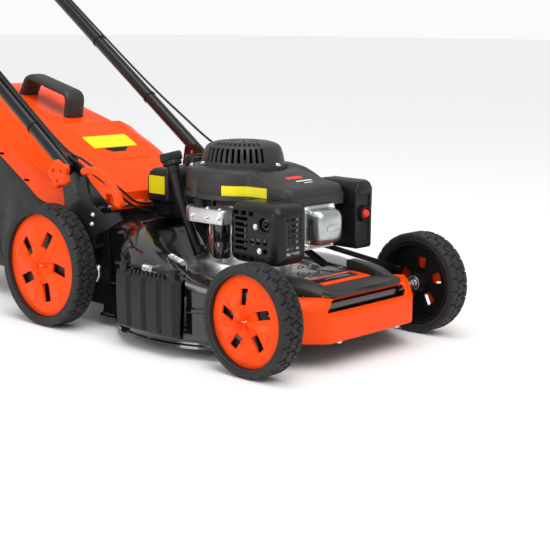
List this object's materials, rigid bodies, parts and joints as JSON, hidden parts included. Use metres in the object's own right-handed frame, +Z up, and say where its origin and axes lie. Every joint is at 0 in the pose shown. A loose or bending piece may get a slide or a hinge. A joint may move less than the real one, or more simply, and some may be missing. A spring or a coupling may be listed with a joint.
{
  "type": "walk-behind rotary lawn mower",
  "caption": "Walk-behind petrol rotary mower with steel deck, upright-shaft engine, side chute cover, rear grass catcher, height-adjusted wheels and folding handle.",
  "frame": {"origin": "on the ground, under the middle of the machine's bounding box", "axes": "+Z up; -Y forward, so +Y runs back along the machine towards the handle; -X is the side with the chute cover and the height lever"},
  "size_m": [0.54, 1.66, 1.0117],
  "materials": {
    "orange_plastic": "satin moulded",
    "black_steel": "gloss powder coat",
    "black_plastic": "satin moulded",
    "grey_plastic": "fine textured",
    "tyre_rubber": "matt",
    "belt_rubber": "matt",
    "red_rubber": "satin",
    "zinc_steel": "bright zinc",
    "cast_aluminium": "as cast",
    "bag_fabric": "woven polyester"
  },
  "bodies": {
    "root": {"deck_shell": "black_steel", "rear_ramp": "black_plastic", "side_plate_right": "black_steel", "side_plate_left": "black_steel", "front_bumper": "orange_plastic", "front_cover": "grey_plastic", "front_inlay": "orange_plastic", "side_hinge_rod": "zinc_steel", "side_hinge_spring": "zinc_steel", "engine_block": "cast_aluminium", "cylinder_head": "cast_aluminium", "valve_cover": "zinc_steel", "spark_plug": "black_plastic", "muffler": "black_steel", "muffler_guard": "black_plastic", "blower_housing": "grey_plastic", "recoil_cover": "grey_plastic", "air_filter_box": "black_plastic", "carburettor": "cast_aluminium", "fuel_tank": "black_plastic", "oil_tube": "black_plastic", "starter_motor": "black_steel", "flap_hinge_rod": "zinc_steel", "drive_belt": "belt_rubber"},
    "front_axle": {"front_axle": "zinc_steel"},
    "rear_axle": {"rear_crank": "zinc_steel", "gearbox": "cast_aluminium"},
    "input_pulley": {"input_pulley": "zinc_steel"},
    "height_link": {"height_link": "black_steel"},
    "lever": {"height_lever": "black_plastic", "lever_grip": "orange_plastic", "lever_spring": "zinc_steel"},
    "crankshaft": {"crankshaft": "zinc_steel", "flywheel": "cast_aluminium", "blade": "zinc_steel"},
    "side_cover": {"side_cover": "black_plastic"},
    "rear_flap": {"rear_flap": "orange_plastic"},
    "catcher": {"catcher_lid": "orange_plastic", "catcher_bag": "bag_fabric", "catcher_handle": "grey_plastic"},
    "handle": {"handle_bar": "black_steel", "drive_cable": "black_plastic", "brake_cable": "black_plastic", "stop_cable": "black_plastic"},
    "brake_bail": {"brake_bail": "black_steel"},
    "drive_bail": {"drive_bail": "black_steel"},
    "clamp_right": {"clamp_right": "orange_plastic"},
    "clamp_left": {"clamp_left": "orange_plastic"},
    "starter_grip": {"starter_grip": "black_plastic"},
    "primer_bulb": {"primer_bulb": "red_rubber"},
    "dipstick": {"dipstick": "black_plastic"},
    "fuel_cap": {"fuel_cap": "black_plastic"},
    "wheel_front_right": {"tyre_front_right": "tyre_rubber", "rim_front_right": "orange_plastic"},
    "wheel_front_left": {"tyre_front_left": "tyre_rubber", "rim_front_left": "orange_plastic"},
    "wheel_rear_right": {"tyre_rear_right": "tyre_rubber", "rim_rear_right": "orange_plastic"},
    "wheel_rear_left": {"tyre_rear_left": "tyre_rubber", "rim_rear_left": "orange_plastic"}
  },
  "joints": [
    {"name": "height_lever", "type": "hinge", "parent": "root", "child": "lever", "pos_m": [-0.2125, -0.2465, 0.168], "axis": [1, 0, 0], "range_deg": [0, 24]},
    {"name": "front_axle_swing", "type": "hinge", "parent": "root", "child": "front_axle", "pos_m": [0, -0.6885, 0.081], "axis": [1, 0, 0], "range_deg": [0, 60]},
    {"name": "rear_axle_swing", "type": "hinge", "parent": "root", "child": "rear_axle", "pos_m": [0, -0.1135, 0.1045], "axis": [1, 0, 0], "range_deg": [0, 60], "deforming": ["drive_belt"]},
    {"name": "height_link_slide", "type": "slide", "parent": "root", "child": "height_link", "axis": [0, 1, 0], "range_m": [-0.022, 0]},
    {"name": "spin_front_right", "type": "hinge", "parent": "front_axle", "child": "wheel_front_right", "pos_m": [0, -0.7285, 0.1015], "axis": [1, 0, 0], "continuous": true},
    {"name": "spin_front_left", "type": "hinge", "parent": "front_axle", "child": "wheel_front_left", "pos_m": [0, -0.7285, 0.1015], "axis": [1, 0, 0], "continuous": true},
    {"name": "spin_rear_right", "type": "hinge", "parent": "rear_axle", "child": "wheel_rear_right", "pos_m": [0, -0.1535, 0.125], "axis": [1, 0, 0], "continuous": true},
    {"name": "spin_rear_left", "type": "hinge", "parent": "rear_axle", "child": "wheel_rear_left", "pos_m": [0, -0.1535, 0.125], "axis": [1, 0, 0], "continuous": true},
    {"name": "blade_spin", "type": "hinge", "parent": "root", "child": "crankshaft", "pos_m": [0, -0.4735, 0.2], "axis": [0, 0, 1], "continuous": true},
    {"name": "pulley_spin", "type": "hinge", "parent": "rear_axle", "child": "input_pulley", "pos_m": [0, -0.1685, 0.082], "axis": [0, 0, 1], "continuous": true},
    {"name": "side_cover_hinge", "type": "hinge", "parent": "root", "child": "side_cover", "pos_m": [-0.2545, -0.473, 0.16], "axis": [0, 1, 0], "range_deg": [0, 88], "stiffness_Nm_per_rad": 0.15, "springref_deg": -34.38},
    {"name": "rear_flap_hinge", "type": "hinge", "parent": "root", "child": "rear_flap", "pos_m": [0, -0.2415, 0.243], "axis": [1, 0, 0], "range_deg": [0, 60], "stiffness_Nm_per_rad": 0.5, "springref_deg": -34.38},
    {"name": "catcher_lift", "type": "slide", "parent": "root", "child": "catcher", "axis": [0, 0.922, 0.3872], "range_m": [0, 0.15]},
    {"name": "handle_fold", "type": "hinge", "parent": "root", "child": "handle", "pos_m": [0, -0.1435, 0.3265], "axis": [1, 0, 0], "range_deg": [0, 140], "deforming": ["drive_cable", "brake_cable", "stop_cable"]},
    {"name": "brake_bail_hinge", "type": "hinge", "parent": "handle", "child": "brake_bail", "pos_m": [0, 0.63988, 0.87503], "axis": [1, 0, 0], "range_deg": [-14, 0], "stiffness_Nm_per_rad": 1, "springref_deg": 34.38},
    {"name": "drive_bail_hinge", "type": "hinge", "parent": "handle", "child": "drive_bail", "pos_m": [0, 0.60712, 0.85209], "axis": [1, 0, 0], "range_deg": [0, 13], "stiffness_Nm_per_rad": 0.5, "springref_deg": -28.65},
    {"name": "clamp_right_turn", "type": "hinge", "parent": "handle", "child": "clamp_right", "pos_m": [-0.21, -0.1435, 0.3265], "axis": [1, 0, 0], "continuous": true},
    {"name": "clamp_left_turn", "type": "hinge", "parent": "handle", "child": "clamp_left", "pos_m": [0.21, -0.1435, 0.3265], "axis": [1, 0, 0], "continuous": true},
    {"name": "starter_pull", "type": "slide", "parent": "root", "child": "starter_grip", "axis": [0, 0.8, 0.6], "range_m": [0, 0.45], "stiffness_N_per_m": 30, "springref_m": -0.3},
    {"name": "primer_press", "type": "slide", "parent": "root", "child": "primer_bulb", "axis": [0, 1, 0], "range_m": [0, 0.005], "stiffness_N_per_m": 600, "springref_m": -0.002},
    {"name": "dipstick_turn", "type": "hinge", "parent": "root", "child": "dipstick", "pos_m": [-0.0885, -0.3595, 0.332], "axis": [0.0076, 0.3208, 0.9471], "range_deg": [0, 90]},
    {"name": "fuel_cap_turn", "type": "hinge", "parent": "root", "child": "fuel_cap", "pos_m": [0.03, -0.3035, 0.3224], "axis": [0, 0, 1], "range_deg": [0, 90]}
  ],
  "couplings": [
    {"joint": "front_axle_swing", "follows": "height_lever", "ratio": 2.5},
    {"joint": "rear_axle_swing", "follows": "height_lever", "ratio": 2.5},
    {"joint": "height_link_slide", "follows": "height_lever", "m_per_rad": -0.05},
    {"joint": "pulley_spin", "follows": "blade_spin", "ratio": 1}
  ]
}
